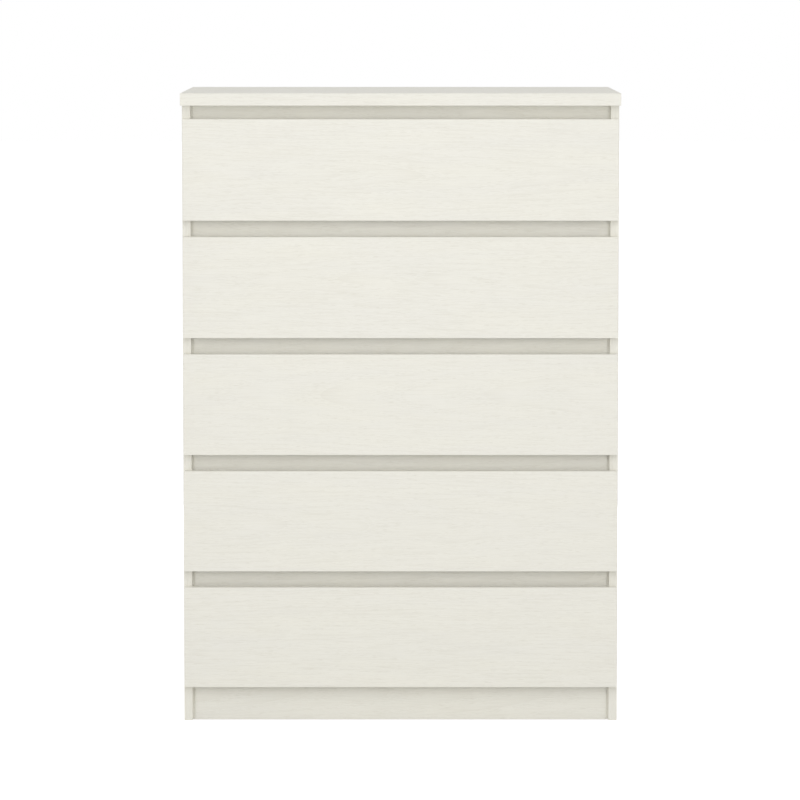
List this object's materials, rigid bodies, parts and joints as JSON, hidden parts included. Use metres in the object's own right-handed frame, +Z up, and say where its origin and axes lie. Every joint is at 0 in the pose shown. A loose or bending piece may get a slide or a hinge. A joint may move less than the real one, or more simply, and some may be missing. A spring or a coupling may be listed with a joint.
{
  "type": "chest of drawers",
  "caption": "Tall off-white wood-grain chest of wide handle-free drawers on roller runners, with recessed rails in the finger gaps, a recessed plinth and plain sides down to the floor.",
  "frame": {"origin": "centre of the footprint, on the floor", "axes": "+X to the right when facing the drawer fronts, +Y from the fronts to the back, +Z up"},
  "size_m": [0.774, 0.5, 1.114],
  "materials": {
    "woodgrain_foil": "off-white wood-grain foil on board, satin",
    "white_box_board": "plain white foil on board, satin",
    "hardboard": "thin hardboard, white on one face",
    "white_plastic": "extruded white plastic",
    "epoxy_steel": "white epoxy coated sheet steel",
    "nylon": "moulded nylon",
    "zinc": "die-cast zinc, dull"
  },
  "bodies": {
    "carcass": {"top_panel": "woodgrain_foil", "side_panel_left": "woodgrain_foil", "side_panel_right": "woodgrain_foil", "front_rail_1": "woodgrain_foil", "front_rail_2": "woodgrain_foil", "front_rail_3": "woodgrain_foil", "front_rail_4": "woodgrain_foil", "front_rail_5": "woodgrain_foil", "plinth": "woodgrain_foil", "rear_rail": "woodgrain_foil", "back_panel_left": "hardboard", "back_panel_right": "hardboard", "back_joint_strip": "white_plastic", "cabinet_runners": "epoxy_steel", "carcass_fittings": "zinc"},
    "drawer_1": {"drawer_1_front": "woodgrain_foil", "drawer_1_side_left": "white_box_board", "drawer_1_side_right": "white_box_board", "drawer_1_back": "white_box_board", "drawer_1_bottom": "hardboard", "drawer_1_runners": "epoxy_steel", "drawer_1_fittings": "zinc"},
    "drawer_1_front_rollers": {"drawer_1_cabinet_rollers": "nylon"},
    "drawer_1_rear_rollers": {"drawer_1_drawer_rollers": "nylon"},
    "drawer_2": {"drawer_2_front": "woodgrain_foil", "drawer_2_side_left": "white_box_board", "drawer_2_side_right": "white_box_board", "drawer_2_back": "white_box_board", "drawer_2_bottom": "hardboard", "drawer_2_runners": "epoxy_steel", "drawer_2_fittings": "zinc"},
    "drawer_2_front_rollers": {"drawer_2_cabinet_rollers": "nylon"},
    "drawer_2_rear_rollers": {"drawer_2_drawer_rollers": "nylon"},
    "drawer_3": {"drawer_3_front": "woodgrain_foil", "drawer_3_side_left": "white_box_board", "drawer_3_side_right": "white_box_board", "drawer_3_back": "white_box_board", "drawer_3_bottom": "hardboard", "drawer_3_runners": "epoxy_steel", "drawer_3_fittings": "zinc"},
    "drawer_3_front_rollers": {"drawer_3_cabinet_rollers": "nylon"},
    "drawer_3_rear_rollers": {"drawer_3_drawer_rollers": "nylon"},
    "drawer_4": {"drawer_4_front": "woodgrain_foil", "drawer_4_side_left": "white_box_board", "drawer_4_side_right": "white_box_board", "drawer_4_back": "white_box_board", "drawer_4_bottom": "hardboard", "drawer_4_runners": "epoxy_steel", "drawer_4_fittings": "zinc"},
    "drawer_4_front_rollers": {"drawer_4_cabinet_rollers": "nylon"},
    "drawer_4_rear_rollers": {"drawer_4_drawer_rollers": "nylon"},
    "drawer_5": {"drawer_5_front": "woodgrain_foil", "drawer_5_side_left": "white_box_board", "drawer_5_side_right": "white_box_board", "drawer_5_back": "white_box_board", "drawer_5_bottom": "hardboard", "drawer_5_runners": "epoxy_steel", "drawer_5_fittings": "zinc"},
    "drawer_5_front_rollers": {"drawer_5_cabinet_rollers": "nylon"},
    "drawer_5_rear_rollers": {"drawer_5_drawer_rollers": "nylon"}
  },
  "joints": [
    {"name": "drawer_1_slide", "type": "slide", "parent": "carcass", "child": "drawer_1", "axis": [0, -1, 0], "range_m": [0, 0.3]},
    {"name": "drawer_1_front_roller_spin", "type": "hinge", "parent": "carcass", "child": "drawer_1_front_rollers", "pos_m": [0, -0.216, 0.9141], "axis": [1, 0, 0], "continuous": true},
    {"name": "drawer_1_rear_roller_spin", "type": "hinge", "parent": "drawer_1", "child": "drawer_1_rear_rollers", "pos_m": [0, 0.16, 0.9138], "axis": [1, 0, 0], "continuous": true},
    {"name": "drawer_2_slide", "type": "slide", "parent": "carcass", "child": "drawer_2", "axis": [0, -1, 0], "range_m": [0, 0.3]},
    {"name": "drawer_2_front_roller_spin", "type": "hinge", "parent": "carcass", "child": "drawer_2_front_rollers", "pos_m": [0, -0.216, 0.7071], "axis": [1, 0, 0], "continuous": true},
    {"name": "drawer_2_rear_roller_spin", "type": "hinge", "parent": "drawer_2", "child": "drawer_2_rear_rollers", "pos_m": [0, 0.16, 0.7068], "axis": [1, 0, 0], "continuous": true},
    {"name": "drawer_3_slide", "type": "slide", "parent": "carcass", "child": "drawer_3", "axis": [0, -1, 0], "range_m": [0, 0.3]},
    {"name": "drawer_3_front_roller_spin", "type": "hinge", "parent": "carcass", "child": "drawer_3_front_rollers", "pos_m": [0, -0.216, 0.5001], "axis": [1, 0, 0], "continuous": true},
    {"name": "drawer_3_rear_roller_spin", "type": "hinge", "parent": "drawer_3", "child": "drawer_3_rear_rollers", "pos_m": [0, 0.16, 0.4998], "axis": [1, 0, 0], "continuous": true},
    {"name": "drawer_4_slide", "type": "slide", "parent": "carcass", "child": "drawer_4", "axis": [0, -1, 0], "range_m": [0, 0.3]},
    {"name": "drawer_4_front_roller_spin", "type": "hinge", "parent": "carcass", "child": "drawer_4_front_rollers", "pos_m": [0, -0.216, 0.2931], "axis": [1, 0, 0], "continuous": true},
    {"name": "drawer_4_rear_roller_spin", "type": "hinge", "parent": "drawer_4", "child": "drawer_4_rear_rollers", "pos_m": [0, 0.16, 0.2928], "axis": [1, 0, 0], "continuous": true},
    {"name": "drawer_5_slide", "type": "slide", "parent": "carcass", "child": "drawer_5", "axis": [0, -1, 0], "range_m": [0, 0.3]},
    {"name": "drawer_5_front_roller_spin", "type": "hinge", "parent": "carcass", "child": "drawer_5_front_rollers", "pos_m": [0, -0.216, 0.0861], "axis": [1, 0, 0], "continuous": true},
    {"name": "drawer_5_rear_roller_spin", "type": "hinge", "parent": "drawer_5", "child": "drawer_5_rear_rollers", "pos_m": [0, 0.16, 0.0858], "axis": [1, 0, 0], "continuous": true}
  ],
  "couplings": [
    {"joint": "drawer_1_front_roller_spin", "follows": "drawer_1_slide", "rad_per_m": 117.65},
    {"joint": "drawer_1_rear_roller_spin", "follows": "drawer_1_slide", "rad_per_m": 117.65},
    {"joint": "drawer_2_front_roller_spin", "follows": "drawer_2_slide", "rad_per_m": 117.65},
    {"joint": "drawer_2_rear_roller_spin", "follows": "drawer_2_slide", "rad_per_m": 117.65},
    {"joint": "drawer_3_front_roller_spin", "follows": "drawer_3_slide", "rad_per_m": 117.65},
    {"joint": "drawer_3_rear_roller_spin", "follows": "drawer_3_slide", "rad_per_m": 117.65},
    {"joint": "drawer_4_front_roller_spin", "follows": "drawer_4_slide", "rad_per_m": 117.65},
    {"joint": "drawer_4_rear_roller_spin", "follows": "drawer_4_slide", "rad_per_m": 117.65},
    {"joint": "drawer_5_front_roller_spin", "follows": "drawer_5_slide", "rad_per_m": 117.65},
    {"joint": "drawer_5_rear_roller_spin", "follows": "drawer_5_slide", "rad_per_m": 117.65}
  ]
}
